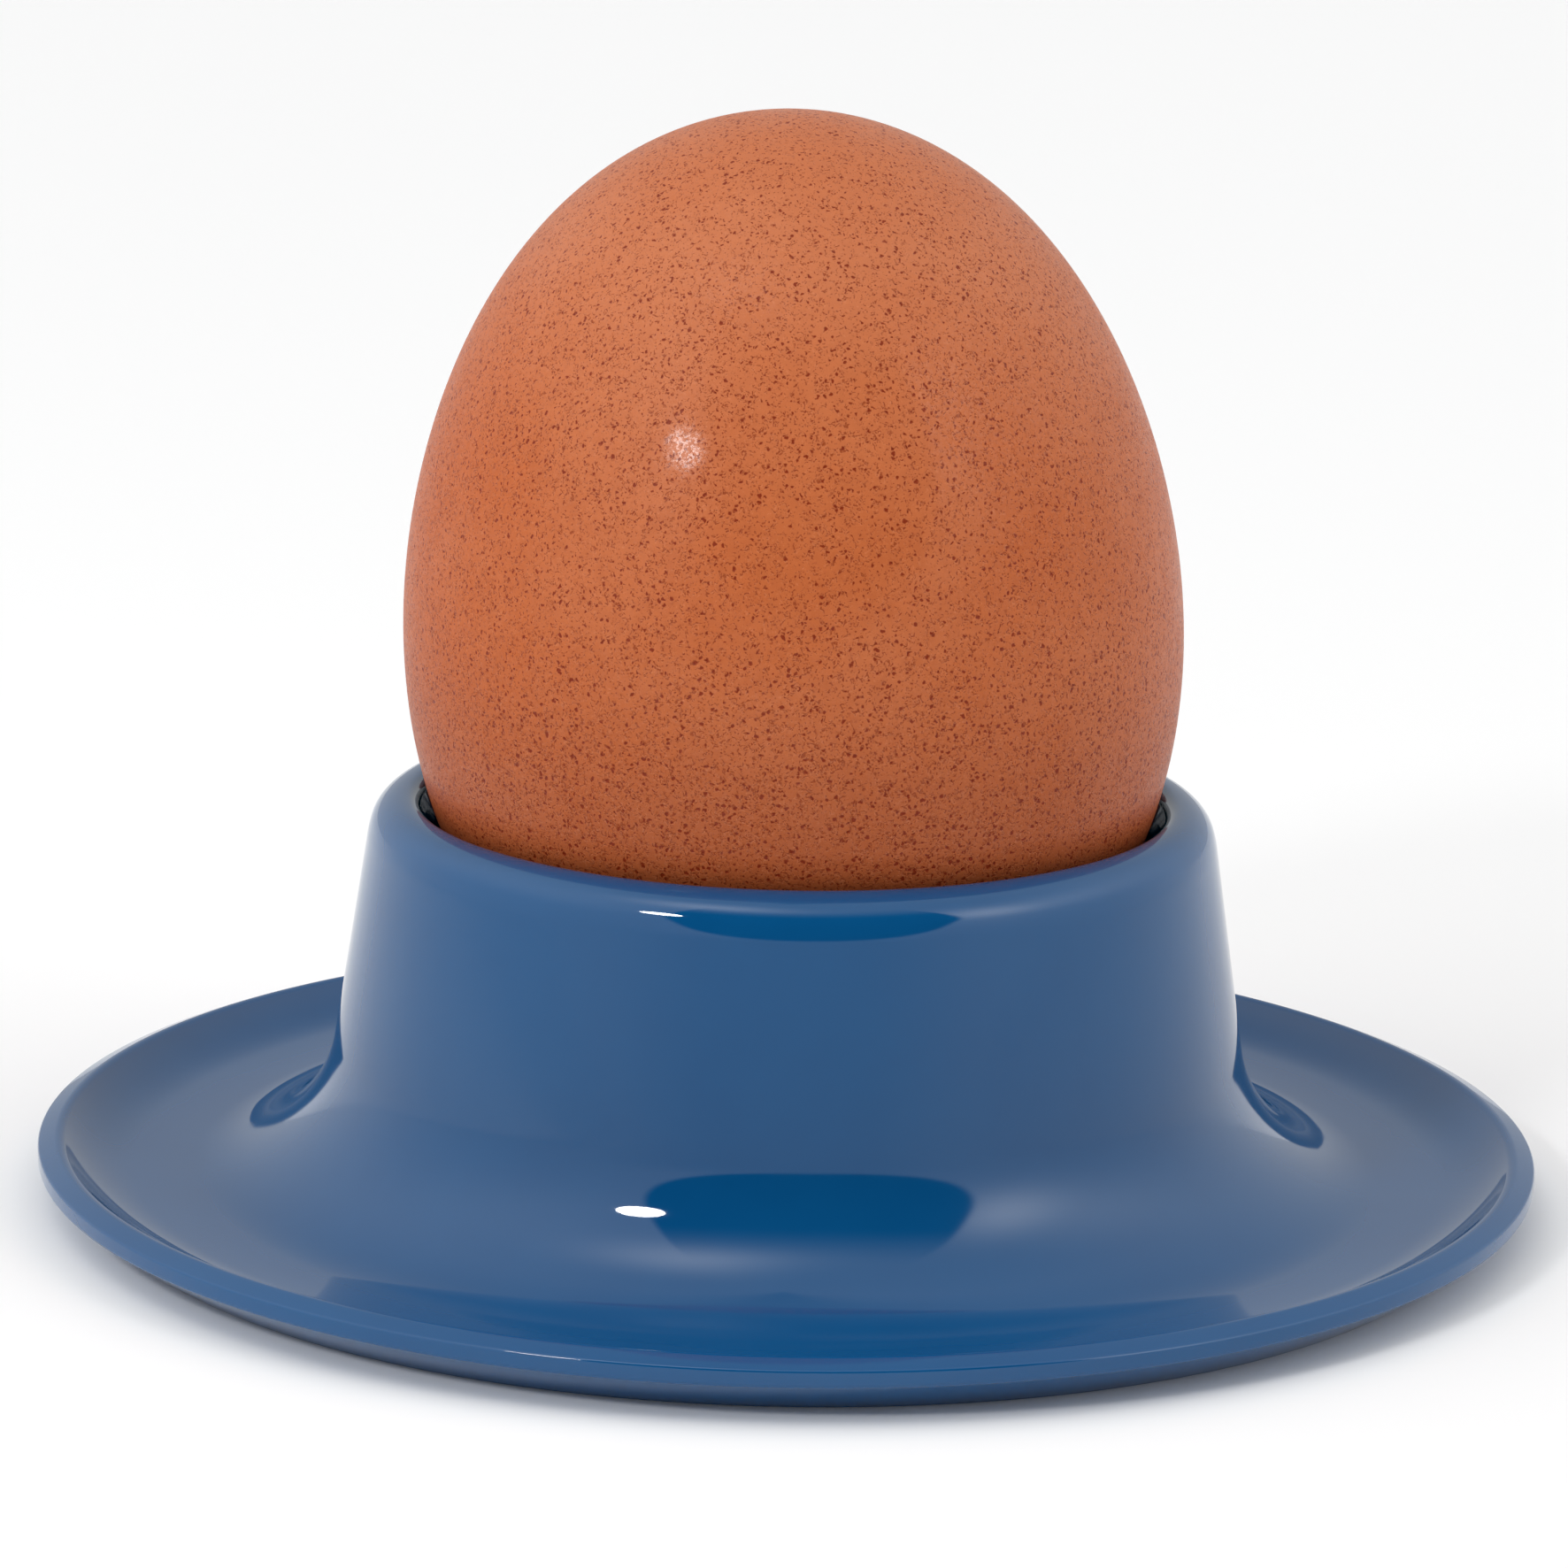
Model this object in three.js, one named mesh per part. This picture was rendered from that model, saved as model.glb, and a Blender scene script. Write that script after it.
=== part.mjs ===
// A boiled hen's egg standing in a saucer-shaped egg cup.
//
// Millimetres, +Z up. The origin is the middle of the cup's foot ring, on the surface it stands on.
// Two pieces: the cup, one moulding turned about Z, and the egg, which leans a little in the cup's well.

import * as THREE from 'three';

// Saucer: its upright edge, the sloping land that climbs from it to a crest, and the foot ring below
const SAUCER_RADIUS = 42.5;
const CREST_RADIUS = 41.35;
const CREST_HEIGHT = 3.45;
const CREST_ROUND = 0.6;
const LAND_TILT = 21.0;
const RIM_EDGE_RADIUS = 0.2;
const RIM_WALL_HEIGHT = 1.0;
const RIM_WALL_DRAFT = 0.05;
const FOOT_OUTER_RADIUS = 39.4;
const FOOT_INNER_RADIUS = 32.5;
const FOOT_EDGE_RADIUS = 0.3;

// Dish of the saucer: its lowest ring, its floor, and the tighter hollow where it climbs to the crest
const VALLEY_HEIGHT = 1.5;
const FLOOR_SLOPE = 4.0;
const RIM_HOLLOW = 6.0;

// Collar: the raised wall that holds the egg, its rounded lip and its sweep into the saucer
const LIP_HEIGHT = 22.87;
const LIP_CROWN_RADIUS = 21.79;
const LIP_OUTER_ROUND = 2.06;
const LIP_INNER_ROUND = 0.75;
const SHOULDER_ROUND = 6.3;
const SHOULDER_START = 17.3;
const WALL_TAPER = 8.7;
const SWEEP_RADIUS = 8.87;
const SWEEP_FOOT = 7.0;
const SWEEP_TURN = 63.5;

// Throat: where the well's flared mouth ends
const THROAT_RADIUS = 20.4;
const THROAT_HEIGHT = 20.6;

// Recess under the collar, inside the foot ring
const RECESS_HEIGHT = 0.7;
const RECESS_ROUND = 0.5;

// Egg: its length, the radius at its middle and how its outline swells towards the blunt end
const EGG_LENGTH = 55.0;
const EGG_MIDDLE_RADIUS = 21.8;
const EGG_TAPER = 0.063;
const EGG_FULLNESS = 0.032;
const EGG_TIP_FULLNESS = 0.024;

// Seat: where the egg's middle stands, how far it leans, and its clearance above the well's floor
const EGG_MIDDLE_HEIGHT = 34.1;
const EGG_LEAN = 2.5;
const LEAN_PIVOT_DROP = 5.5;
const SEAT_GAP = 0.36;
const PIVOT_HEIGHT = EGG_MIDDLE_HEIGHT - LEAN_PIVOT_DROP;
const WELL_FLOOR = EGG_MIDDLE_HEIGHT - EGG_LENGTH / 2 - SEAT_GAP;

// Facets
const CUP_SEGMENTS = 72;
const EGG_SEGMENTS = 44;
const EGG_RINGS = 22;
const WELL_STEPS = 10;

const radians = THREE.MathUtils.degToRad;

// Height of the saucer's edge: the land falls to it from the crest's rounding
const LAND_NORMAL = radians(90 - LAND_TILT);
const LAND_TOP_R = CREST_RADIUS + CREST_ROUND * Math.cos(LAND_NORMAL);
const LAND_TOP_Z = CREST_HEIGHT - CREST_ROUND + CREST_ROUND * Math.sin(LAND_NORMAL);
const EDGE_HEIGHT = LAND_TOP_Z - (SAUCER_RADIUS - LAND_TOP_R) * Math.tan(radians(LAND_TILT));

// Points of a round stretch of an outline, from one direction to another, in degrees from +r towards +z
function arc(centreR, centreZ, radius, fromDegrees, toDegrees, steps) {
  const points = [];
  for (let i = 0; i <= steps; i += 1) {
    const angle = radians(fromDegrees + ((toDegrees - fromDegrees) * i) / steps);
    points.push(new THREE.Vector2(centreR + radius * Math.cos(angle), centreZ + radius * Math.sin(angle)));
  }
  return points;
}

// A solid turned about Z from an outline of (radius, height) points
function turned(outline, segments) {
  const geometry = new THREE.LatheGeometry(outline, segments);
  geometry.rotateX(Math.PI / 2);
  return geometry;
}

// Underside of the saucer, from the middle of the recess out over the foot ring to the rim's wall
function undersideOutline() {
  const recessRoundR = FOOT_INNER_RADIUS - RECESS_ROUND;
  const footRoundR = FOOT_OUTER_RADIUS - FOOT_EDGE_RADIUS;
  return [
    new THREE.Vector2(0, RECESS_HEIGHT),
    ...arc(recessRoundR, RECESS_HEIGHT - RECESS_ROUND, RECESS_ROUND, 90, 0, 4),
    new THREE.Vector2(FOOT_INNER_RADIUS, 0),
    ...arc(footRoundR, FOOT_EDGE_RADIUS, FOOT_EDGE_RADIUS, -90, -40, 2),
    new THREE.Vector2(SAUCER_RADIUS - RIM_WALL_DRAFT, EDGE_HEIGHT - RIM_WALL_HEIGHT),
  ];
}

// Rim's edge, the sloping land, its crest and the dish of the saucer, from the rim inwards to the lowest ring.
// The crest's rounding, the hollow beside it and the dish's floor are three arcs, each tangent to the next.
function dishOutline(valleyR) {
  const floorSlope = radians(FLOOR_SLOPE);
  const run = CREST_RADIUS - valleyR;
  const rise = CREST_HEIGHT - VALLEY_HEIGHT - run * Math.tan(floorSlope / 2);
  const bothRadii = RIM_HOLLOW + CREST_ROUND;
  const slope = floorSlope / 2 + Math.acos(Math.cos(floorSlope / 2) * (1 - rise / bothRadii));
  const floorReach = run + RIM_HOLLOW * Math.sin(floorSlope) - bothRadii * Math.sin(slope);
  const floorRadius = floorReach / Math.sin(floorSlope);
  const hollowR = valleyR + (floorRadius - RIM_HOLLOW) * Math.sin(floorSlope);
  const hollowZ = VALLEY_HEIGHT + floorRadius - (floorRadius - RIM_HOLLOW) * Math.cos(floorSlope);
  const steepest = THREE.MathUtils.radToDeg(slope);
  const edgeR = SAUCER_RADIUS - RIM_EDGE_RADIUS;
  const edgeZ = EDGE_HEIGHT - RIM_EDGE_RADIUS * Math.tan(LAND_NORMAL / 2);
  return [
    ...arc(edgeR, edgeZ, RIM_EDGE_RADIUS, 0, 90 - LAND_TILT, 2),
    ...arc(CREST_RADIUS, CREST_HEIGHT - CREST_ROUND, CREST_ROUND, 90 - LAND_TILT, 90 + steepest, 3),
    ...arc(hollowR, hollowZ, RIM_HOLLOW, steepest - 90, FLOOR_SLOPE - 90, 4).slice(1),
    ...arc(valleyR, VALLEY_HEIGHT + floorRadius, floorRadius, FLOOR_SLOPE - 90, -90, 2).slice(1),
  ];
}

// Middle of the shoulder's rounding, which eases the lip's outer rounding into the tapered wall
function shoulderCentre() {
  const ease = SHOULDER_ROUND - LIP_OUTER_ROUND;
  const start = radians(SHOULDER_START);
  return new THREE.Vector2(
    LIP_CROWN_RADIUS - ease * Math.cos(start),
    LIP_HEIGHT - LIP_OUTER_ROUND - ease * Math.sin(start),
  );
}

// Collar, from the lowest ring up the two curves of its sweep and the tapered wall, and over the lip
function collarOutline(valleyR, sweepCentreR, sweepCentreZ) {
  const outerRoundZ = LIP_HEIGHT - LIP_OUTER_ROUND;
  const innerRoundZ = LIP_HEIGHT - LIP_INNER_ROUND;
  const shoulder = shoulderCentre();
  const turn = SWEEP_TURN - 180;
  return [
    ...arc(valleyR, VALLEY_HEIGHT + SWEEP_FOOT, SWEEP_FOOT, -90, turn, 4).slice(1),
    ...arc(sweepCentreR, sweepCentreZ, SWEEP_RADIUS, turn, WALL_TAPER - 180, 6).slice(1),
    ...arc(shoulder.x, shoulder.y, SHOULDER_ROUND, WALL_TAPER, SHOULDER_START, 2),
    ...arc(LIP_CROWN_RADIUS, outerRoundZ, LIP_OUTER_ROUND, SHOULDER_START, 90, 5).slice(1),
    ...arc(LIP_CROWN_RADIUS, innerRoundZ, LIP_INNER_ROUND, 90, 180, 4).slice(1),
  ];
}

// Well, a half-round bowl from its throat down to its floor on the axis
function wellOutline() {
  const depth = THROAT_HEIGHT - WELL_FLOOR;
  const points = [];
  for (let i = 0; i < WELL_STEPS; i += 1) {
    const angle = (Math.PI / 2) * (i / WELL_STEPS);
    points.push(new THREE.Vector2(THROAT_RADIUS * Math.cos(angle), THROAT_HEIGHT - depth * Math.sin(angle)));
  }
  points.push(new THREE.Vector2(0, WELL_FLOOR));
  return points;
}

// The egg's outline, from its blunt end up to its tip, about its own middle
function eggOutline() {
  const points = [new THREE.Vector2(0, -EGG_LENGTH / 2)];
  for (let i = 1; i < EGG_RINGS; i += 1) {
    const turn = Math.PI * (1 - i / EGG_RINGS);
    const c = Math.cos(turn);
    const swell = 1 - EGG_TAPER * c + EGG_FULLNESS * c * c + EGG_TIP_FULLNESS * c * c * c;
    points.push(new THREE.Vector2(EGG_MIDDLE_RADIUS * Math.sin(turn) * swell, (EGG_LENGTH / 2) * c));
  }
  points.push(new THREE.Vector2(0, EGG_LENGTH / 2));
  return points;
}

function makeCup() {
  const taper = radians(WALL_TAPER);
  const turn = radians(SWEEP_TURN);
  const sweepCentreZ = VALLEY_HEIGHT + SWEEP_FOOT + (SWEEP_RADIUS - SWEEP_FOOT) * Math.sin(turn);
  const shoulder = shoulderCentre();
  const wallTopR = shoulder.x + SHOULDER_ROUND * Math.cos(taper);
  const wallTopZ = shoulder.y + SHOULDER_ROUND * Math.sin(taper);
  const wallFootZ = sweepCentreZ - SWEEP_RADIUS * Math.sin(taper);
  const wallFootR = wallTopR + (wallTopZ - wallFootZ) * Math.tan(taper);
  const sweepCentreR = wallFootR + SWEEP_RADIUS * Math.cos(taper);
  const valleyR = sweepCentreR - (SWEEP_RADIUS - SWEEP_FOOT) * Math.cos(turn);
  const outline = [
    ...undersideOutline(),
    ...dishOutline(valleyR),
    ...collarOutline(valleyR, sweepCentreR, sweepCentreZ),
    ...wellOutline(),
  ];
  const material = new THREE.MeshStandardMaterial({ color: 0x1d5688, roughness: 0.12, metalness: 0 });
  const cup = new THREE.Mesh(turned(outline, CUP_SEGMENTS), material);
  cup.name = 'egg_cup';
  return cup;
}

function makeEgg() {
  const material = new THREE.MeshStandardMaterial({ color: 0xb8683f, roughness: 0.6, metalness: 0 });
  const egg = new THREE.Mesh(turned(eggOutline(), EGG_SEGMENTS), material);
  egg.name = 'egg';
  egg.position.z = LEAN_PIVOT_DROP;
  const lean = new THREE.Group();
  lean.position.z = PIVOT_HEIGHT;
  lean.rotation.y = -radians(EGG_LEAN);
  lean.add(egg);
  return lean;
}

const eggInCup = new THREE.Group();
eggInCup.add(makeCup());
eggInCup.add(makeEgg());

export default eggInCup;
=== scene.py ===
"""A boiled hen's egg standing in a saucer-shaped egg cup, with its table and soft studio light."""
import math

import bpy
from bpy.props import FloatProperty, FloatVectorProperty, IntProperty, PointerProperty
from mathutils import Matrix, Vector


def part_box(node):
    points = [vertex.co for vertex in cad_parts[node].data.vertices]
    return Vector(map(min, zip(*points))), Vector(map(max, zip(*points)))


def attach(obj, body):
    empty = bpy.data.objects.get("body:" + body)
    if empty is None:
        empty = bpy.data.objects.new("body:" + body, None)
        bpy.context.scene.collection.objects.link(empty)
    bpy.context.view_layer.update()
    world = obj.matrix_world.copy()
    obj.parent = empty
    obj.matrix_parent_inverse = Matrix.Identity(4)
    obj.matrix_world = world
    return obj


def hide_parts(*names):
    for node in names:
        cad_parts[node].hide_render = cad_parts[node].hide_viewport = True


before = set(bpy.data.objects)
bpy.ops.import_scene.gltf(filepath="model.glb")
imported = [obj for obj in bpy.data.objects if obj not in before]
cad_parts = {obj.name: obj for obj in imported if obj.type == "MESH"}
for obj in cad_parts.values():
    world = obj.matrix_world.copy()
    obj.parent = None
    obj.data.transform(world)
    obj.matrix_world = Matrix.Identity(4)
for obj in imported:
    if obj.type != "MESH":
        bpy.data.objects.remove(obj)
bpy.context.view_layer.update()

bl_info = {
    "name": "Boiled Egg in Egg Cup",
    "version": (1, 0, 0),
    "blender": (4, 5, 0),
    "location": "3D View > Sidebar > Egg Cup",
    "description": "Models a speckled brown egg in a moulded egg cup and lights it on a table",
    "category": "Add Mesh",
}

CUP_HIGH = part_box("egg_cup")[1]
EGG_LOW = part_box("egg")[0]

# Modelling: the vertex an outline starts from, and the points that keep its straight stretches flat
SEED_SIZE = 0.001
MERGE_DISTANCE = 1e-6
LONGEST_STRETCH = 0.0012
SUPPORT_SHARE = 0.04
SMOOTH_ANGLE = math.radians(30.0)

# Cup: the egg's clearance above the well's floor, the well's facets, and the roundings of the underside,
# whose directions are in degrees from outwards towards up
SEAT_GAP = 0.0003
WELL_STEPS = 28
RECESS_ROUND_SHARE = 0.75
RECESS_ROUND_END = 10
UNDERSIDE_FACING = 318

# Every surface: how sharp its cloudy patches are
PATCH_EDGES = (0.32, 0.68)

# Plastic
PLASTIC_FINISH = {"Patch Size": 0.011, "Ripple Size": 0.007, "Grain Size": 0.0004, "Grain Share": 0.004}
PLASTIC_ROUGHNESS = (0.035, 0.075)
PLASTIC_BUMP = {"Strength": 0.25, "Distance": 0.00006}
PLASTIC_IOR = 1.5

# Shell, by height above the table: where it is low, at its crown, painted light on its top, painted shade
# near the lip
SHELL_LOW = (0.040, 0.025)
SHELL_CROWN = (0.046, 0.062)
SHELL_TOP_LIGHT = (0.040, 0.058)
SHELL_LIP_SHADE = (0.036, 0.022)

# Shell: how much of each colour is laid over those before it
CLOUD_SHARE = 0.30
# Painted light on the top, painted shade near the lip, painted highlights below the marks
TOP_LIGHT_SHARE = 0.32
LIP_SHADE_SHARE = 0.62
HIGHLIGHT_SHARE = 0.28
MARK_SHARE = 0.80
DOT_SHARE = 0.92

# Shell: its marks, the painted highlights on their lower rims, and speckles, how far noise bends them out
# of round, and the smallest one's share of the full radius
WANDER_NOISE = {"Scale": 3600.0, "Detail": 1.0}
NOISE_MIDDLE = (0.5, 0.5, 0.5)
SMALLEST_DOT = 0.35
MARK_WANDER = 0.00090
DOT_WANDER = 0.00035
HIGHLIGHT_SHIFT = (0.00003, 0.0, 0.00008)
MARK_SPACING = 0.00023
MARK_RADIUS = 0.000135
MARK_LOW_GROWTH = 0.000022
MARK_CROWN_LOSS = 0.000020
MARK_SOFTNESS = 0.6
HIGHLIGHT_SOFTNESS = 0.7
DOT_SPACING = 0.00033
DOT_RADIUS = 0.000132
DOT_LOW_GROWTH = 0.000025
DOT_SOFTNESS = 0.5

# Shell: its surface
SHELL_FINISH = {"Patch Size": 0.012, "Ripple Size": 0.0011, "Grain Size": 0.00014, "Grain Share": 0.45}
CLOUD_NOISE = {"scale": 1100.0, "detail": 3.0, "roughness": 0.65}
CLOUD_EDGES = (0.30, 0.75)
PIT_DEPTH = 0.5
SHELL_BUMP = {"Strength": 0.6, "Distance": 0.00005}
SHELL_ROUGHNESS = (0.42, 0.50)
SHELL_IOR = 1.5
SHELL_SPECULAR = 0.12
GLINT_NOISE = {"scale": 5200.0, "detail": 2.0, "roughness": 0.7}
GLINT_EDGES = (0.44, 0.62)
GLINT_COAT = 0.21
EVEN_COAT = 0.04
COAT_ROUGHNESS = 0.11
COAT_IOR = 1.5

# Table
TABLE_FINISH = {"Patch Size": 0.25, "Ripple Size": 0.02, "Grain Size": 0.001, "Grain Share": 0.2}
TABLE_PATCH_SHARE = 0.015
TABLE_PATCH_COLOUR = (0.80, 0.80, 0.80)
TABLE_ROUGHNESS = 0.8
TABLE_SPECULAR = 0.2

# Room, in degrees of bearing from the front and of rise: glows as (middle, spread, strength), the dimmer
# back wall, the dark opening in front and the dim apron at its foot
GLOWS = (
    ((-75.0, 42.0), (50.0, 24.0), 0.50),
    ((-36.0, 65.0), (34.0, 10.0), 2.0),
    ((80.0, 33.0), (34.0, 17.0), 0.8),
    ((58.0, 33.0), (15.0, 13.0), 1.9),
)
BACK_WALL = (115.0, 175.0)
BACK_WALL_SHARE = 0.58
OPENING_BEARING = 6.5
OPENING_HALF_WIDTH = 42.0
OPENING_RISE = 34.0
OPENING_DEPTH = 28.0
OPENING_SQUARENESS = 2.6
OPENING_EDGE = (1.12, 0.94)
OPENING_TOP = (42.0, 68.0)
OPENING_SHADE = 0.985
APRON_BEARING = (55.0, 15.0)
APRON_RISE = (10.0, 3.0)
APRON_SHADE = 0.25

SENSOR_WIDTH = 36.0

# A colour Mix node's two colour inputs and its colour output
MIX_COLOURS = (6, 7)
MIX_RESULT = 2


# ---------------------------------------------------------------- settings

class CupSettings(bpy.types.PropertyGroup):
    """Sizes and colours of the egg cup"""
    saucer_radius: FloatProperty(
        name="Saucer Radius", description="Radius of the saucer at its rim",
        default=CUP_HIGH.x, min=0.02, subtype="DISTANCE", unit="LENGTH")
    lip_height: FloatProperty(
        name="Lip Height", description="Height of the collar's crown above the table",
        default=CUP_HIGH.z, min=0.01, subtype="DISTANCE", unit="LENGTH")
    crest_radius: FloatProperty(
        name="Crest Radius", description="Radius of the ring where the saucer's rim is highest",
        default=0.04135, subtype="DISTANCE", unit="LENGTH")
    crest_height: FloatProperty(
        name="Crest Height", description="Height of that ring above the table",
        default=0.00345, subtype="DISTANCE", unit="LENGTH")
    crest_round: FloatProperty(
        name="Crest Round", description="Rounding of the crest between the land and the dish",
        default=0.0006, subtype="DISTANCE", unit="LENGTH")
    land_tilt: FloatProperty(
        name="Land Tilt", description="Slope of the land that climbs from the saucer's edge to the crest",
        default=math.radians(21.0), subtype="ANGLE", unit="ROTATION")
    rim_wall: FloatProperty(
        name="Rim Wall", description="Height of the upright wall at the saucer's edge",
        default=0.001, subtype="DISTANCE", unit="LENGTH")
    rim_edge: FloatProperty(
        name="Rim Edge Radius", description="Rounding of the edge between the land and the rim's wall",
        default=0.0002, subtype="DISTANCE", unit="LENGTH")
    valley_height: FloatProperty(
        name="Valley Height", description="Height of the dish's lowest ring above the table",
        default=0.0015, subtype="DISTANCE", unit="LENGTH")
    rim_hollow: FloatProperty(
        name="Rim Hollow", description="Radius of the dish's curve where it climbs to the crest",
        default=0.006, subtype="DISTANCE", unit="LENGTH")
    floor_slope: FloatProperty(
        name="Floor Slope", description="Slope at which the dish's floor passes into that curve",
        default=math.radians(4.0), subtype="ANGLE", unit="ROTATION")
    sweep_radius: FloatProperty(
        name="Sweep Radius", description="Radius of the curve from the collar's wall down towards the dish",
        default=0.00887, subtype="DISTANCE", unit="LENGTH")
    sweep_foot: FloatProperty(
        name="Sweep Foot", description="Tighter radius at the foot of that curve",
        default=0.007, subtype="DISTANCE", unit="LENGTH")
    sweep_turn: FloatProperty(
        name="Sweep Turn", description="Direction the surface faces where the two curves meet, from level",
        default=math.radians(63.5), subtype="ANGLE", unit="ROTATION")
    wall_taper: FloatProperty(
        name="Wall Taper", description="Lean of the collar's wall from upright",
        default=math.radians(8.7), subtype="ANGLE", unit="ROTATION")
    lip_crown: FloatProperty(
        name="Lip Crown Radius", description="Radius of the ring where the lip is highest",
        default=0.02179, subtype="DISTANCE", unit="LENGTH")
    lip_outer_round: FloatProperty(
        name="Lip Outer Round", description="Rounding of the lip towards the shoulder",
        default=0.00206, subtype="DISTANCE", unit="LENGTH")
    shoulder_round: FloatProperty(
        name="Shoulder Round", description="Slower rounding that eases the lip into the wall",
        default=0.0063, subtype="DISTANCE", unit="LENGTH")
    shoulder_start: FloatProperty(
        name="Shoulder Start", description="Direction in which the lip's rounding meets the shoulder's",
        default=math.radians(17.3), subtype="ANGLE", unit="ROTATION")
    lip_inner_round: FloatProperty(
        name="Lip Inner Round", description="Rounding of the lip towards the well",
        default=0.00075, subtype="DISTANCE", unit="LENGTH")
    throat_radius: FloatProperty(
        name="Throat Radius", description="Radius of the well where its flared mouth ends",
        default=0.0204, subtype="DISTANCE", unit="LENGTH")
    throat_height: FloatProperty(
        name="Throat Height", description="Height at which the flared mouth ends",
        default=0.0206, subtype="DISTANCE", unit="LENGTH")
    well_floor: FloatProperty(
        name="Well Floor", description="Height of the bottom of the well",
        default=EGG_LOW.z - SEAT_GAP, subtype="DISTANCE", unit="LENGTH")
    foot_outer: FloatProperty(
        name="Foot Outer Radius", description="Outer radius of the foot ring",
        default=0.0394, subtype="DISTANCE", unit="LENGTH")
    foot_inner: FloatProperty(
        name="Foot Inner Radius", description="Inner radius of the foot ring",
        default=0.0325, subtype="DISTANCE", unit="LENGTH")
    foot_edge: FloatProperty(
        name="Foot Edge Radius", description="Rounding of the foot ring's edges",
        default=0.0003, subtype="DISTANCE", unit="LENGTH")
    recess_height: FloatProperty(
        name="Recess Height", description="Height of the hollow inside the foot ring",
        default=0.0007, subtype="DISTANCE", unit="LENGTH")
    steps: IntProperty(
        name="Turning Steps", description="Facets round the cup", default=256, min=32)
    colour: FloatVectorProperty(
        name="Plastic", description="Colour of the moulded plastic",
        size=3, subtype="COLOR", min=0.0, max=1.0, default=(0.0012, 0.066, 0.194))
    worn_colour: FloatVectorProperty(
        name="Plastic Patches", description="Colour of the plastic's faint paler patches",
        size=3, subtype="COLOR", min=0.0, max=1.0, default=(0.0017, 0.071, 0.204))


class EggSettings(bpy.types.PropertyGroup):
    """Sizes and colours of the egg"""
    length: FloatProperty(
        name="Length", description="Length of the egg from its blunt end to its tip",
        default=0.055, min=0.02, subtype="DISTANCE", unit="LENGTH")
    middle_radius: FloatProperty(
        name="Middle Radius", description="Radius of the egg halfway along it",
        default=0.0218, subtype="DISTANCE", unit="LENGTH")
    middle_height: FloatProperty(
        name="Middle Height", description="Height of the egg's middle above the table",
        default=0.0341, subtype="DISTANCE", unit="LENGTH")
    taper: FloatProperty(
        name="Taper", description="Narrowing from the blunt end to the tip", default=0.063)
    fullness: FloatProperty(
        name="Fullness", description="Swelling of both ends", default=0.032)
    tip_fullness: FloatProperty(
        name="Tip Fullness", description="Swelling of the tip against the blunt end", default=0.024)
    lean: FloatProperty(
        name="Lean", description="Lean of the tip towards -X",
        default=math.radians(2.5), subtype="ANGLE", unit="ROTATION")
    pivot_drop: FloatProperty(
        name="Pivot Drop", description="Distance from the egg's middle down to the point it leans about",
        default=0.0055, subtype="DISTANCE", unit="LENGTH")
    steps: IntProperty(
        name="Turning Steps", description="Facets round the egg", default=192, min=32)
    rings: IntProperty(
        name="Rings", description="Facets from end to end", default=120, min=16)
    colour: FloatVectorProperty(
        name="Shell", description="Main colour of the shell",
        size=3, subtype="COLOR", min=0.0, max=1.0, default=(0.50, 0.134, 0.044))
    warm_colour: FloatVectorProperty(
        name="Warm Patches", description="Colour of the shell's more orange patches",
        size=3, subtype="COLOR", min=0.0, max=1.0, default=(0.47, 0.108, 0.026))
    # Also the colour of the painted shade on the shell low down, near the cup's lip
    cloud_and_shade_colour: FloatVectorProperty(
        name="Clouding", description="Colour of the fine darker clouding",
        size=3, subtype="COLOR", min=0.0, max=1.0, default=(0.36, 0.078, 0.022))
    mark_colour: FloatVectorProperty(
        name="Faint Marks", description="Colour of the small faint crooked marks",
        size=3, subtype="COLOR", min=0.0, max=1.0, default=(0.24, 0.034, 0.005))
    # Painted light: the pale colour of the painted highlights on the marks' lower rims and of the painted
    # light on the shell's top
    painted_light_colour: FloatVectorProperty(
        name="Pale Flecks", description="Colour of the tiny pale flecks beside the marks",
        size=3, subtype="COLOR", min=0.0, max=1.0, default=(0.66, 0.25, 0.12))
    dot_colour: FloatVectorProperty(
        name="Speckles", description="Colour of the small dark speckles",
        size=3, subtype="COLOR", min=0.0, max=1.0, default=(0.190, 0.015, 0.001))


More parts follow.
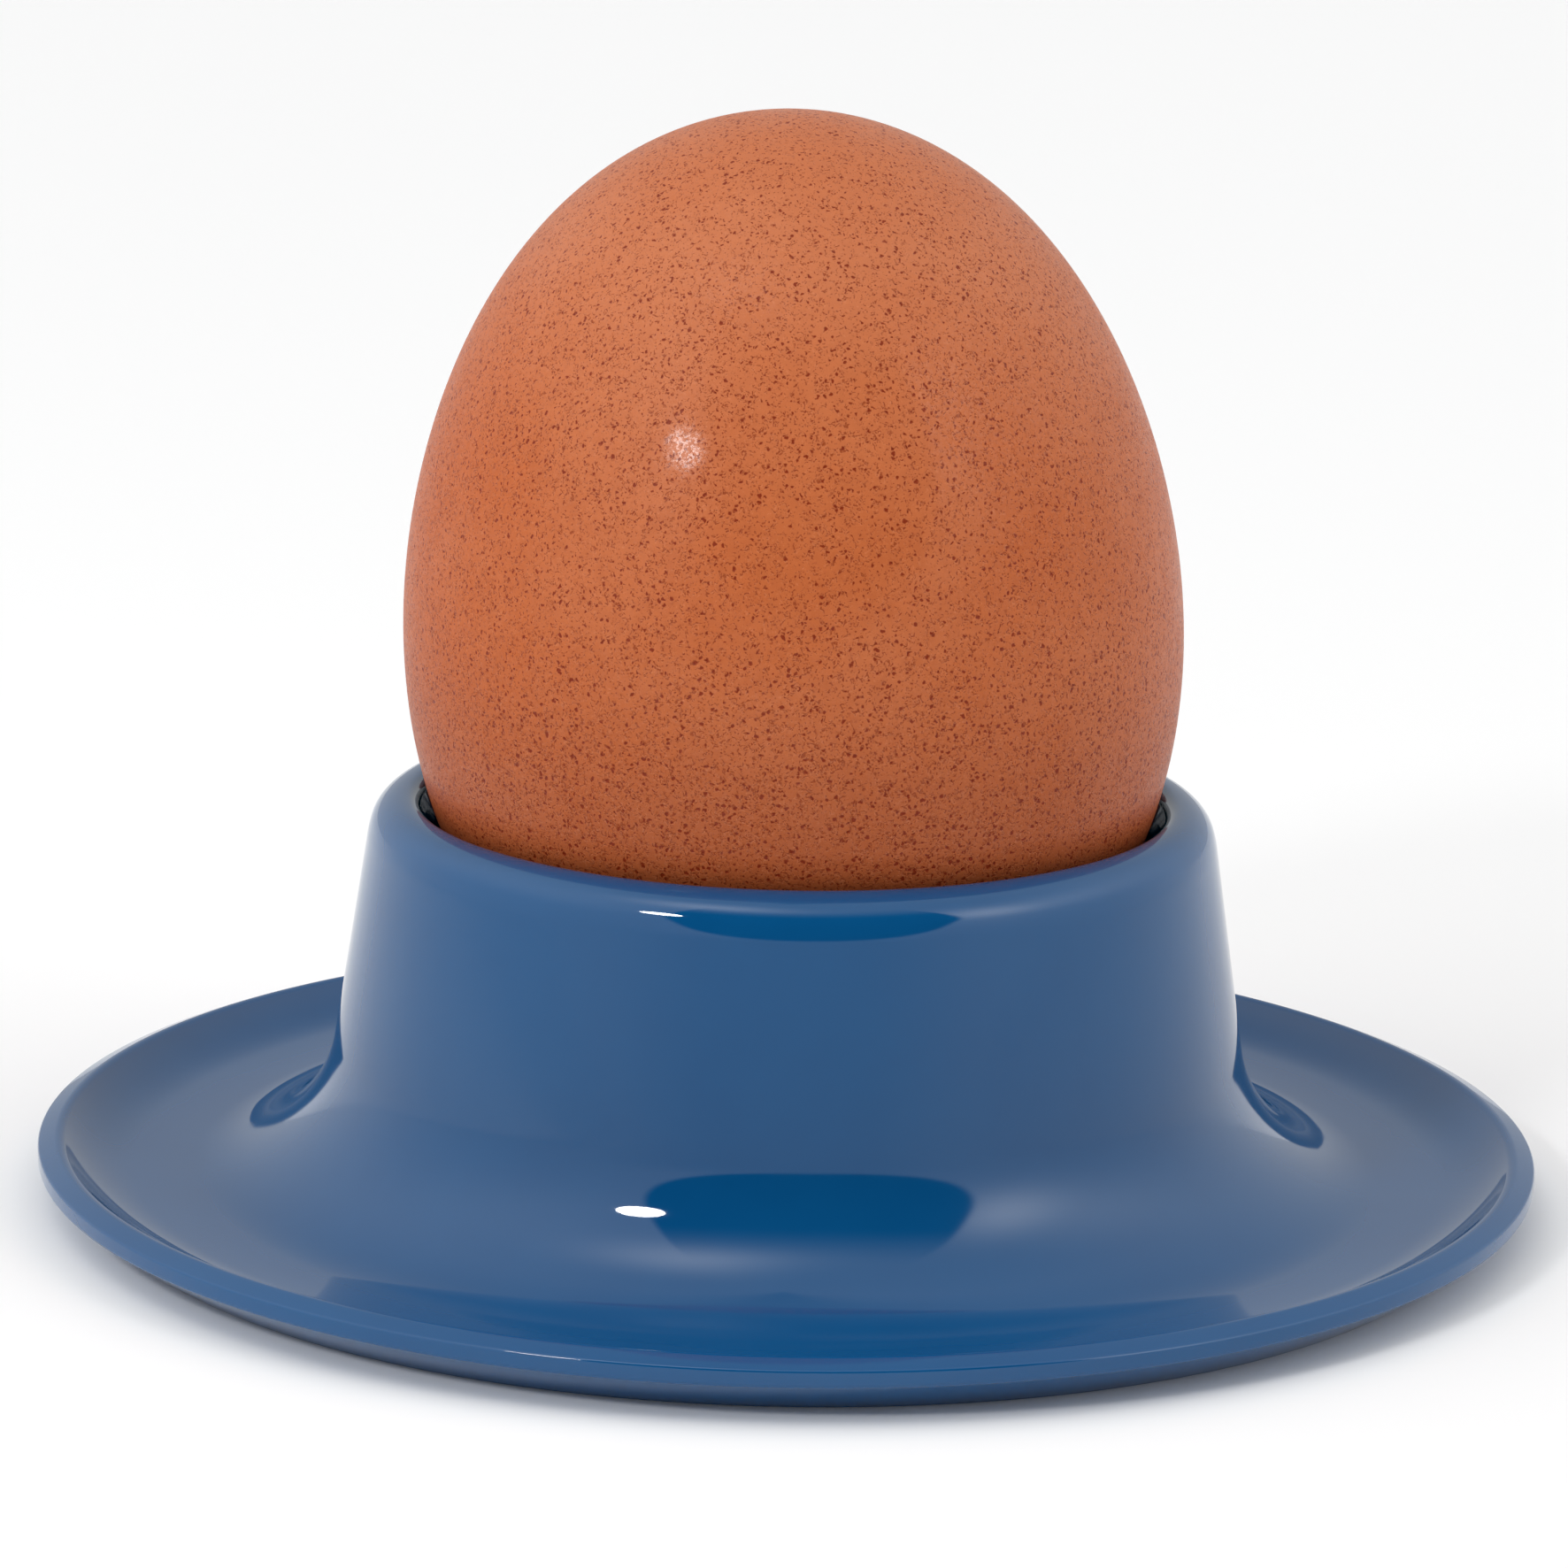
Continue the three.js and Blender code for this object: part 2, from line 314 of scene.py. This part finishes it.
class StageSettings(bpy.types.PropertyGroup):
    """Table, light and camera"""
    table_size: FloatProperty(
        name="Table Size", description="Width of the table",
        default=8.0, subtype="DISTANCE", unit="LENGTH")
    table_colour: FloatVectorProperty(
        name="Table", description="Colour of the table",
        size=3, subtype="COLOR", min=0.0, max=1.0, default=(0.95, 0.95, 0.95))
    room_light: FloatProperty(
        name="Room Light", description="Brightness of the plain white walls all round", default=1.0)
    key_power: FloatProperty(
        name="Key Power", description="Power of the small lamp at the front left",
        default=0.36, unit="POWER")
    key_place: FloatVectorProperty(
        name="Key Place", description="Where the small lamp hangs",
        size=3, subtype="TRANSLATION", unit="LENGTH", default=(-0.197, -0.267, 0.222))
    key_width: FloatProperty(
        name="Key Width", description="Width of the small lamp",
        default=0.074, subtype="DISTANCE", unit="LENGTH")
    key_height: FloatProperty(
        name="Key Height", description="Height of the small lamp",
        default=0.042, subtype="DISTANCE", unit="LENGTH")
    camera_distance: FloatProperty(
        name="Camera Distance", description="Distance from the cup's axis to the camera, along the table",
        default=0.347557, subtype="DISTANCE", unit="LENGTH")
    camera_height: FloatProperty(
        name="Camera Height", description="Height of the camera above the table",
        default=0.105754, subtype="DISTANCE", unit="LENGTH")
    camera_pitch: FloatProperty(
        name="Camera Pitch", description="How far the camera looks down",
        default=math.radians(13.31), subtype="ANGLE", unit="ROTATION")
    camera_yaw: FloatProperty(
        name="Camera Yaw", description="How far the camera looks to the right",
        default=math.radians(-0.088), subtype="ANGLE", unit="ROTATION")
    camera_roll: FloatProperty(
        name="Camera Roll", description="Turn of the camera about its own line of sight",
        default=math.radians(1.124), subtype="ANGLE", unit="ROTATION")
    lens: FloatProperty(
        name="Lens", description="Focal length on a 36 mm sensor", default=145.4, unit="CAMERA")


# ---------------------------------------------------------------- outlines

def arc(centre_r, centre_z, radius, start, end, steps):
    """Points of a round stretch of an outline, directions in degrees from +r towards +z."""
    angles = [math.radians(start + (end - start) * i / steps) for i in range(steps + 1)]
    return [(centre_r + radius * math.cos(a), centre_z + radius * math.sin(a)) for a in angles]


def with_supports(outline):
    """The outline with a point near both ends of each long straight stretch, so that it shades flat."""
    points = [outline[0]]
    for (r0, z0), (r1, z1) in zip(outline, outline[1:]):
        if math.hypot(r1 - r0, z1 - z0) > LONGEST_STRETCH:
            for share in (SUPPORT_SHARE, 1.0 - SUPPORT_SHARE):
                points.append((r0 + (r1 - r0) * share, z0 + (z1 - z0) * share))
        points.append((r1, z1))
    return points


def cup_outline(cup):
    """The cup's section, from the middle of its underside round to the floor of its well."""
    taper = cup.wall_taper
    taper_degrees = math.degrees(taper)
    start_degrees = math.degrees(cup.shoulder_start)
    crown, outer, inner = cup.lip_crown, cup.lip_outer_round, cup.lip_inner_round
    turn = cup.sweep_turn
    turn_degrees = math.degrees(turn)
    ease_foot = cup.sweep_radius - cup.sweep_foot
    foot_z = cup.valley_height + cup.sweep_foot
    sweep_z = foot_z + ease_foot * math.sin(turn)
    lip_z = cup.lip_height - outer
    ease = cup.shoulder_round - outer
    shoulder_r = crown - ease * math.cos(cup.shoulder_start)
    shoulder_z = lip_z - ease * math.sin(cup.shoulder_start)
    wall_top_r = shoulder_r + cup.shoulder_round * math.cos(taper)
    wall_top_z = shoulder_z + cup.shoulder_round * math.sin(taper)
    wall_foot_z = sweep_z - cup.sweep_radius * math.sin(taper)
    wall_foot_r = wall_top_r + (wall_top_z - wall_foot_z) * math.tan(taper)
    sweep_r = wall_foot_r + cup.sweep_radius * math.cos(taper)
    valley_r = sweep_r - ease_foot * math.cos(turn)
    land_degrees = 90.0 - math.degrees(cup.land_tilt)
    land_top_r = cup.crest_radius + cup.crest_round * math.sin(cup.land_tilt)
    land_top_z = cup.crest_height - cup.crest_round * (1.0 - math.cos(cup.land_tilt))
    edge_height = land_top_z - (cup.saucer_radius - land_top_r) * math.tan(cup.land_tilt)
    edge_z = edge_height - cup.rim_edge * math.tan(math.radians(land_degrees) / 2.0)
    floor_slope, near = cup.floor_slope, cup.rim_hollow
    run = cup.crest_radius - valley_r
    rise = cup.crest_height - cup.valley_height - run * math.tan(floor_slope / 2.0)
    both = near + cup.crest_round
    slope = floor_slope / 2.0 + math.acos(math.cos(floor_slope / 2.0) * (1.0 - rise / both))
    floor = (run + near * math.sin(floor_slope) - both * math.sin(slope)) / math.sin(floor_slope)
    near_r = valley_r + (floor - near) * math.sin(floor_slope)
    near_z = cup.valley_height + floor - (floor - near) * math.cos(floor_slope)
    slope_degrees = math.degrees(slope)
    floor_degrees = math.degrees(floor_slope)
    crest_z = cup.crest_height - cup.crest_round
    recess_round = RECESS_ROUND_SHARE * cup.recess_height
    edge = cup.foot_edge
    mouth_z = cup.lip_height - inner
    depth = cup.throat_height - cup.well_floor
    well = [(cup.throat_radius * math.cos(a), cup.throat_height - depth * math.sin(a))
            for a in (math.pi / 2 * i / WELL_STEPS for i in range(WELL_STEPS))]
    outline = [(0.0, cup.recess_height)]
    outline += arc(cup.foot_inner - recess_round, cup.recess_height - recess_round, recess_round,
                   90, RECESS_ROUND_END, steps=8)
    outline += arc(cup.foot_inner + edge, edge, edge, 180, 270, steps=5)
    outline += arc(cup.foot_outer - edge, edge, edge, 270, UNDERSIDE_FACING, steps=5)
    outline += arc(cup.saucer_radius - edge, edge_height - cup.rim_wall + edge, edge,
                   UNDERSIDE_FACING, 360, steps=5)
    outline += arc(cup.saucer_radius - cup.rim_edge, edge_z, cup.rim_edge, 0, land_degrees, steps=7)
    outline += arc(cup.crest_radius, crest_z, cup.crest_round, land_degrees, 90 + slope_degrees, steps=14)
    outline += arc(near_r, near_z, near, slope_degrees - 90, floor_degrees - 90, steps=14)[1:]
    outline += arc(valley_r, cup.valley_height + floor, floor, floor_degrees - 90, -90, steps=14)[1:]
    outline += arc(valley_r, foot_z, cup.sweep_foot, -90, turn_degrees - 180, steps=16)[1:]
    outline += arc(sweep_r, sweep_z, cup.sweep_radius, turn_degrees - 180, taper_degrees - 180, steps=26)[1:]
    outline += arc(shoulder_r, shoulder_z, cup.shoulder_round, taper_degrees, start_degrees, steps=8)
    outline += arc(crown, lip_z, outer, start_degrees, 90, steps=30)[1:]
    outline += arc(crown, mouth_z, inner, 90, 180, steps=14)[1:]
    outline += well
    outline.append((0.0, cup.well_floor))
    return with_supports(outline)


def egg_outline(egg):
    """The egg's section about its own middle, from the blunt end up to the tip."""
    half = egg.length / 2.0
    points = [(0.0, -half)]
    for i in range(1, egg.rings):
        turn = math.pi * (1.0 - i / egg.rings)
        c = math.cos(turn)
        swell = 1.0 - egg.taper * c + egg.fullness * c ** 2 + egg.tip_fullness * c ** 3
        points.append((egg.middle_radius * math.sin(turn) * swell, half * c))
    points.append((0.0, half))
    return points


# ---------------------------------------------------------------- modelling

def turn_outline(name, outline, centre, steps):
    """Draws an outline from a single vertex and spins it about the upright axis through centre."""
    bpy.ops.object.select_all(action="DESELECT")
    start = Vector((outline[0][0], 0.0, outline[0][1])) + centre
    bpy.ops.mesh.primitive_plane_add(size=SEED_SIZE, location=start)
    piece = bpy.context.active_object
    piece.name = name
    piece.data.name = name
    bpy.ops.object.transform_apply(location=True, rotation=True, scale=True)
    bpy.ops.object.mode_set(mode="EDIT")
    bpy.ops.mesh.select_all(action="SELECT")
    bpy.ops.mesh.merge(type="CENTER")
    for (r0, z0), (r1, z1) in zip(outline, outline[1:]):
        bpy.ops.mesh.extrude_region_move(TRANSFORM_OT_translate={"value": (r1 - r0, 0.0, z1 - z0)})
    bpy.ops.mesh.select_all(action="SELECT")
    bpy.ops.mesh.spin(steps=steps, angle=2.0 * math.pi, center=centre, axis=(0.0, 0.0, 1.0))
    bpy.ops.mesh.select_all(action="SELECT")
    bpy.ops.mesh.remove_doubles(threshold=MERGE_DISTANCE)
    bpy.ops.mesh.normals_make_consistent(inside=False)
    bpy.ops.object.mode_set(mode="OBJECT")
    return piece


def finish_piece(piece, node, material):
    """Shades a piece, gives it its material, hides the imported part of the node it stands for and ties it to
    the root body.
    """
    bpy.ops.object.shade_smooth_by_angle(angle=SMOOTH_ANGLE)
    piece.data.materials.clear()
    piece.data.materials.append(material)
    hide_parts(node)
    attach(piece, "root")


# ---------------------------------------------------------------- node helpers

def add_node(tree, kind, inputs=None, **settings):
    """Adds a node, sets its properties, and sets or links its inputs by name or number."""
    node = tree.nodes.new(kind)
    for name, value in settings.items():
        setattr(node, name, value)
    for key, value in (inputs or {}).items():
        if isinstance(value, bpy.types.NodeSocket):
            tree.links.new(value, node.inputs[key])
        else:
            node.inputs[key].default_value = value
    return node


def maths(tree, operation, *values):
    """One sum of up to three values, which are numbers or sockets."""
    return add_node(tree, "ShaderNodeMath", dict(enumerate(values)), operation=operation).outputs[0]


def moved(tree, place, step):
    """A place moved by a step."""
    return add_node(tree, "ShaderNodeVectorMath", {0: place, 1: step}, operation="ADD").outputs[0]


def wandered(tree, place, wander, reach):
    """A place moved along a random direction, further for a longer reach."""
    step = add_node(tree, "ShaderNodeVectorMath", {0: wander, "Scale": reach}, operation="SCALE").outputs[0]
    return moved(tree, place, step)


def fade(tree, value, low, high, at_low=0.0, at_high=1.0):
    """A smooth step from at_low to at_high while value goes from low to high."""
    inputs = {"Value": value, "From Min": low, "From Max": high, "To Min": at_low, "To Max": at_high}
    return add_node(tree, "ShaderNodeMapRange", inputs, interpolation_type="SMOOTHSTEP").outputs["Result"]


def noise(tree, vector, scale, detail, roughness):
    """Cloudy noise from 0 to 1."""
    inputs = {"Vector": vector, "Scale": scale, "Detail": detail, "Roughness": roughness}
    return add_node(tree, "ShaderNodeTexNoise", inputs).outputs["Fac"]


def blend_colours(tree, share, first, second):
    """Two colours mixed by a share from 0 to 1."""
    mix = add_node(tree, "ShaderNodeMix", {0: share}, data_type="RGBA")
    for slot, colour in zip(MIX_COLOURS, (first, second)):
        if isinstance(colour, bpy.types.NodeSocket):
            tree.links.new(colour, mix.inputs[slot])
        else:
            mix.inputs[slot].default_value = (*colour, 1.0)
    return mix.outputs[MIX_RESULT]


def new_material(name):
    """A material's node tree, its Principled shader and its object coordinates."""
    material = bpy.data.materials.new(name)
    material.use_nodes = True
    tree = material.node_tree
    place = add_node(tree, "ShaderNodeTexCoord").outputs["Object"]
    return material, tree, tree.nodes["Principled BSDF"], place


def new_group(name, inputs, outputs):
    """An empty shader node group with named inputs and outputs, and its two ends."""
    group = bpy.data.node_groups.new(name, "ShaderNodeTree")
    for title, kind in inputs:
        group.interface.new_socket(title, in_out="INPUT", socket_type=kind)
    for title in outputs:
        group.interface.new_socket(title, in_out="OUTPUT", socket_type="NodeSocketFloat")
    return group, group.nodes.new("NodeGroupInput").outputs, group.nodes.new("NodeGroupOutput").inputs


def use_group(tree, name, inputs):
    """Places a node group in a material with its own values."""
    return add_node(tree, "ShaderNodeGroup", inputs, node_tree=bpy.data.node_groups[name]).outputs


# ---------------------------------------------------------------- shared effects

def make_uneven_finish():
    """Broad cloudy patches, a slow ripple and a fine grain, as every real surface here has."""
    inputs = (("Place", "NodeSocketVector"), ("Patch Size", "NodeSocketFloat"),
              ("Ripple Size", "NodeSocketFloat"), ("Grain Size", "NodeSocketFloat"),
              ("Grain Share", "NodeSocketFloat"))
    group, given, result = new_group("uneven_finish", inputs, ("Patches", "Height"))
    patch_scale = maths(group, "DIVIDE", 1.0, given["Patch Size"])
    ripple_scale = maths(group, "DIVIDE", 1.0, given["Ripple Size"])
    grain_scale = maths(group, "DIVIDE", 1.0, given["Grain Size"])
    patches = noise(group, given["Place"], patch_scale, detail=3.0, roughness=0.55)
    ripple = noise(group, given["Place"], ripple_scale, detail=1.0, roughness=0.4)
    grain = noise(group, given["Place"], grain_scale, detail=2.0, roughness=0.6)
    group.links.new(fade(group, patches, *PATCH_EDGES), result["Patches"])
    group.links.new(maths(group, "MULTIPLY_ADD", grain, given["Grain Share"], ripple), result["Height"])


def make_dots():
    """Round marks scattered through the shell, strongest in their middles, with a size and a spacing."""
    inputs = (("Place", "NodeSocketVector"), ("Spacing", "NodeSocketFloat"), ("Radius", "NodeSocketFloat"),
              ("Softness", "NodeSocketFloat"))
    group, given, result = new_group("scattered_dots", inputs, ("Dots",))
    scale = maths(group, "DIVIDE", 1.0, given["Spacing"])
    cells = add_node(group, "ShaderNodeTexVoronoi", {"Vector": given["Place"], "Scale": scale})
    reach = maths(group, "MULTIPLY", cells.outputs["Distance"], given["Spacing"])
    luck = add_node(group, "ShaderNodeSeparateColor", {"Color": cells.outputs["Color"]}).outputs["Red"]
    radius = maths(group, "MULTIPLY", given["Radius"], fade(group, luck, 0.0, 1.0, SMALLEST_DOT, 1.0))
    share = maths(group, "DIVIDE", reach, radius)
    edge = maths(group, "SUBTRACT", 1.0, given["Softness"])
    group.links.new(fade(group, share, edge, 1.0, 1.0, 0.0), result["Dots"])


# ---------------------------------------------------------------- materials

def plastic_material(cup):
    """Glossy moulded plastic with a faint ripple from the mould and slightly uneven polish."""
    material, tree, shader, place = new_material("blue_plastic")
    finish = use_group(tree, "uneven_finish", {"Place": place, **PLASTIC_FINISH})
    colour = blend_colours(tree, finish["Patches"], cup.colour, cup.worn_colour)
    roughness = fade(tree, finish["Patches"], 0.0, 1.0, *PLASTIC_ROUGHNESS)
    bump = add_node(tree, "ShaderNodeBump", {"Height": finish["Height"], **PLASTIC_BUMP})
    tree.links.new(colour, shader.inputs["Base Color"])
    tree.links.new(roughness, shader.inputs["Roughness"])
    tree.links.new(bump.outputs["Normal"], shader.inputs["Normal"])
    shader.inputs["IOR"].default_value = PLASTIC_IOR
    return material


def shell_material(egg):
    """Brown eggshell with dark speckles, faint crooked marks and a dull waxy gloss, with painted highlights
    below the marks, painted light on its top and painted shade near the lip.
    """
    material, tree, shader, place = new_material("brown_shell")
    height = add_node(tree, "ShaderNodeSeparateXYZ", {"Vector": place}).outputs["Z"]
    low = fade(tree, height, *SHELL_LOW)
    crown = fade(tree, height, *SHELL_CROWN)
    finish = use_group(tree, "uneven_finish", {"Place": place, **SHELL_FINISH})
    cloud = fade(tree, noise(tree, place, **CLOUD_NOISE), *CLOUD_EDGES)
    # Painted light: the shell is laid paler towards its top
    paler = fade(tree, height, *SHELL_TOP_LIGHT)
    # Painted shade: the shell is laid darker low down, near the cup's lip
    lip_shade = fade(tree, height, *SHELL_LIP_SHADE)

    crooked = add_node(tree, "ShaderNodeTexNoise", {"Vector": place, **WANDER_NOISE})
    wander = add_node(tree, "ShaderNodeVectorMath", {0: crooked.outputs["Color"], 1: NOISE_MIDDLE},
                      operation="SUBTRACT").outputs[0]
    bent = wandered(tree, place, wander, MARK_WANDER)
    nudged = wandered(tree, place, wander, DOT_WANDER)
    # The marks' pattern shifted, so that painted highlights fall just below the marks, on their lower rims
    highlight_place = moved(tree, bent, HIGHLIGHT_SHIFT)
    marks_radius = maths(tree, "MULTIPLY_ADD", low, MARK_LOW_GROWTH, MARK_RADIUS)
    marks_radius = maths(tree, "MULTIPLY_ADD", crown, -MARK_CROWN_LOSS, marks_radius)
    dots_radius = maths(tree, "MULTIPLY_ADD", low, DOT_LOW_GROWTH, DOT_RADIUS)
    marks = use_group(tree, "scattered_dots", {
        "Place": bent, "Spacing": MARK_SPACING, "Radius": marks_radius, "Softness": MARK_SOFTNESS})["Dots"]
    # Painted highlights on the marks' lower rims
    highlights = use_group(tree, "scattered_dots", {
        "Place": highlight_place, "Spacing": MARK_SPACING, "Radius": marks_radius, "Softness": HIGHLIGHT_SOFTNESS})["Dots"]
    dots = use_group(tree, "scattered_dots", {
        "Place": nudged, "Spacing": DOT_SPACING, "Radius": dots_radius, "Softness": DOT_SOFTNESS})["Dots"]

    base = blend_colours(tree, finish["Patches"], egg.colour, egg.warm_colour)
    layers = (
        (cloud, CLOUD_SHARE, egg.cloud_and_shade_colour),
        # Painted light on the top
        (paler, TOP_LIGHT_SHARE, egg.painted_light_colour),
        # Painted shade near the lip
        (lip_shade, LIP_SHADE_SHARE, egg.cloud_and_shade_colour),
        # Painted highlights below the marks
        (highlights, HIGHLIGHT_SHARE, egg.painted_light_colour),
        (marks, MARK_SHARE, egg.mark_colour),
        (dots, DOT_SHARE, egg.dot_colour),
    )
    for cover, share, colour in layers:
        base = blend_colours(tree, maths(tree, "MULTIPLY", cover, share), base, colour)
    tree.links.new(base, shader.inputs["Base Color"])

    pits = maths(tree, "MULTIPLY_ADD", marks, -PIT_DEPTH, finish["Height"])
    pits = maths(tree, "MULTIPLY_ADD", dots, -PIT_DEPTH, pits)
    bump = add_node(tree, "ShaderNodeBump", {"Height": pits, **SHELL_BUMP})
    tree.links.new(bump.outputs["Normal"], shader.inputs["Normal"])
    roughness = fade(tree, finish["Patches"], 0.0, 1.0, *SHELL_ROUGHNESS)
    tree.links.new(roughness, shader.inputs["Roughness"])
    glints = fade(tree, noise(tree, place, **GLINT_NOISE), *GLINT_EDGES)
    coat = maths(tree, "MULTIPLY_ADD", glints, GLINT_COAT, EVEN_COAT)
    tree.links.new(coat, shader.inputs["Coat Weight"])
    shader.inputs["IOR"].default_value = SHELL_IOR
    shader.inputs["Specular IOR Level"].default_value = SHELL_SPECULAR
    shader.inputs["Coat Roughness"].default_value = COAT_ROUGHNESS
    shader.inputs["Coat IOR"].default_value = COAT_IOR
    return material


def table_material(stage):
    """Plain matt white table."""
    material, tree, shader, place = new_material("white_table")
    finish = use_group(tree, "uneven_finish", {"Place": place, **TABLE_FINISH})
    faint = maths(tree, "MULTIPLY", finish["Patches"], TABLE_PATCH_SHARE)
    colour = blend_colours(tree, faint, stage.table_colour, TABLE_PATCH_COLOUR)
    tree.links.new(colour, shader.inputs["Base Color"])
    shader.inputs["Roughness"].default_value = TABLE_ROUGHNESS
    shader.inputs["Specular IOR Level"].default_value = TABLE_SPECULAR
    return material


def glow(tree, bearing, rise, middle, spread, strength):
    """A soft round glow on the room's wall: its middle and its spread are (bearing, rise) in degrees."""
    across = maths(tree, "DIVIDE", maths(tree, "SUBTRACT", bearing, middle[0]), spread[0])
    along = maths(tree, "DIVIDE", maths(tree, "SUBTRACT", rise, middle[1]), spread[1])
    far = maths(tree, "MULTIPLY_ADD", across, across, maths(tree, "MULTIPLY", along, along))
    return maths(tree, "MULTIPLY", maths(tree, "EXPONENT", maths(tree, "MULTIPLY", far, -1.0)), strength)


def studio_world(stage):
    """A plain white light tent: soft glows where its lamps stand and a dark opening in front."""
    world = bpy.data.worlds.new("light_tent")
    world.use_nodes = True
    tree = world.node_tree
    direction = add_node(tree, "ShaderNodeTexCoord").outputs["Generated"]
    parts = add_node(tree, "ShaderNodeSeparateXYZ", {"Vector": direction}).outputs
    forward = maths(tree, "MULTIPLY", parts["Y"], -1.0)
    bearing = maths(tree, "DEGREES", maths(tree, "ARCTAN2", parts["X"], forward))
    rise = maths(tree, "DEGREES", maths(tree, "ARCSINE", parts["Z"]))
    aside = maths(tree, "ABSOLUTE", bearing)

    light = fade(tree, aside, *BACK_WALL, stage.room_light, BACK_WALL_SHARE * stage.room_light)
    for middle, spread, strength in GLOWS:
        light = maths(tree, "ADD", light, glow(tree, bearing, rise, middle, spread, strength))

    side = maths(tree, "DIVIDE", maths(tree, "SUBTRACT", bearing, OPENING_BEARING), OPENING_HALF_WIDTH)
    side = maths(tree, "POWER", maths(tree, "ABSOLUTE", side), OPENING_SQUARENESS)
    below = maths(tree, "DIVIDE", maths(tree, "SUBTRACT", OPENING_RISE, rise), OPENING_DEPTH)
    below = maths(tree, "POWER", maths(tree, "MAXIMUM", below, 0.0), OPENING_SQUARENESS)
    shade = fade(tree, maths(tree, "ADD", side, below), *OPENING_EDGE)
    top = fade(tree, rise, *OPENING_TOP)
    shade = maths(tree, "MULTIPLY", shade, maths(tree, "SUBTRACT", 1.0, top))
    light = maths(tree, "MULTIPLY", light, maths(tree, "MULTIPLY_ADD", shade, -OPENING_SHADE, 1.0))
    apron = maths(tree, "MULTIPLY", fade(tree, aside, *APRON_BEARING), fade(tree, rise, *APRON_RISE))
    light = maths(tree, "MULTIPLY", light, maths(tree, "MULTIPLY_ADD", apron, -APRON_SHADE, 1.0))
    tree.links.new(light, tree.nodes["Background"].inputs["Strength"])
    tree.nodes["Background"].inputs["Color"].default_value = (1.0, 1.0, 1.0, 1.0)
    return world


# ---------------------------------------------------------------- operators

class EGGCUP_OT_cup(bpy.types.Operator):
    """Model the egg cup as one turned moulding"""
    bl_idname = "eggcup.cup"
    bl_label = "Egg Cup"
    bl_options = {"REGISTER", "UNDO"}

    def execute(self, context):
        cup = context.scene.eggcup_cup
        piece = turn_outline("moulded_cup", cup_outline(cup), Vector((0.0, 0.0, 0.0)), cup.steps)
        finish_piece(piece, "egg_cup", plastic_material(cup))
        return {"FINISHED"}


class EGGCUP_OT_egg(bpy.types.Operator):
    """Model the egg and lean it in the well"""
    bl_idname = "eggcup.egg"
    bl_label = "Egg"
    bl_options = {"REGISTER", "UNDO"}

    def execute(self, context):
        egg = context.scene.eggcup_egg
        middle = Vector((0.0, 0.0, egg.middle_height))
        piece = turn_outline("boiled_egg", egg_outline(egg), middle, egg.steps)
        pivot = middle - Vector((0.0, 0.0, egg.pivot_drop))
        bpy.ops.object.mode_set(mode="EDIT")
        bpy.ops.mesh.select_all(action="SELECT")
        bpy.ops.transform.rotate(value=egg.lean, orient_axis="Y", center_override=pivot)
        bpy.ops.object.mode_set(mode="OBJECT")
        finish_piece(piece, "egg", shell_material(egg))
        return {"FINISHED"}


class EGGCUP_OT_stage(bpy.types.Operator):
    """Make the shared effects, lay the table, hang the lights and place the camera"""
    bl_idname = "eggcup.stage"
    bl_label = "Table, Light and Camera"
    bl_options = {"REGISTER", "UNDO"}

    def execute(self, context):
        stage = context.scene.eggcup_stage
        make_uneven_finish()
        make_dots()
        bpy.ops.object.select_all(action="DESELECT")
        bpy.ops.mesh.primitive_plane_add(size=stage.table_size)
        table = bpy.context.active_object
        table.name = "studio_table"
        table.data.materials.append(table_material(stage))

        context.scene.world = studio_world(stage)
        context.scene.view_settings.view_transform = "Standard"

        key_place = Vector(stage.key_place)
        bpy.ops.object.light_add(type="AREA", location=key_place,
                                 rotation=key_place.to_track_quat("Z", "Y").to_euler())
        key = bpy.context.active_object
        key.name = "key_lamp"
        key.data.shape = "ELLIPSE"
        key.data.size = stage.key_width
        key.data.size_y = stage.key_height
        key.data.energy = stage.key_power

        turn = (Matrix.Rotation(-stage.camera_yaw, 3, "Z")
                @ Matrix.Rotation(math.pi / 2 - stage.camera_pitch, 3, "X")
                @ Matrix.Rotation(stage.camera_roll, 3, "Z"))
        place = (0.0, -stage.camera_distance, stage.camera_height)
        bpy.ops.object.camera_add(location=place, rotation=turn.to_euler())
        camera = bpy.context.active_object
        camera.name = "studio_camera"
        camera.data.lens = stage.lens
        camera.data.sensor_width = SENSOR_WIDTH
        context.scene.camera = camera
        return {"FINISHED"}


class EGGCUP_PT_panel(bpy.types.Panel):
    """Buttons for the egg, its cup and the stage"""
    bl_label = "Egg Cup"
    bl_idname = "EGGCUP_PT_panel"
    bl_space_type = "VIEW_3D"
    bl_region_type = "UI"
    bl_category = "Egg Cup"

    def draw(self, context):
        for operator in OPERATORS:
            self.layout.operator(operator.bl_idname)


OPERATORS = (EGGCUP_OT_cup, EGGCUP_OT_egg, EGGCUP_OT_stage)
SETTINGS = {"eggcup_cup": CupSettings, "eggcup_egg": EggSettings, "eggcup_stage": StageSettings}
CLASSES = (*SETTINGS.values(), *OPERATORS, EGGCUP_PT_panel)


def register():
    for cls in CLASSES:
        bpy.utils.register_class(cls)
    for name, settings in SETTINGS.items():
        setattr(bpy.types.Scene, name, PointerProperty(type=settings))


def unregister():
    for name in SETTINGS:
        delattr(bpy.types.Scene, name)
    for cls in reversed(CLASSES):
        bpy.utils.unregister_class(cls)


def main():
    register()
    bpy.ops.eggcup.stage()
    bpy.ops.eggcup.cup()
    bpy.ops.eggcup.egg()


if __name__ == "__main__":
    main()
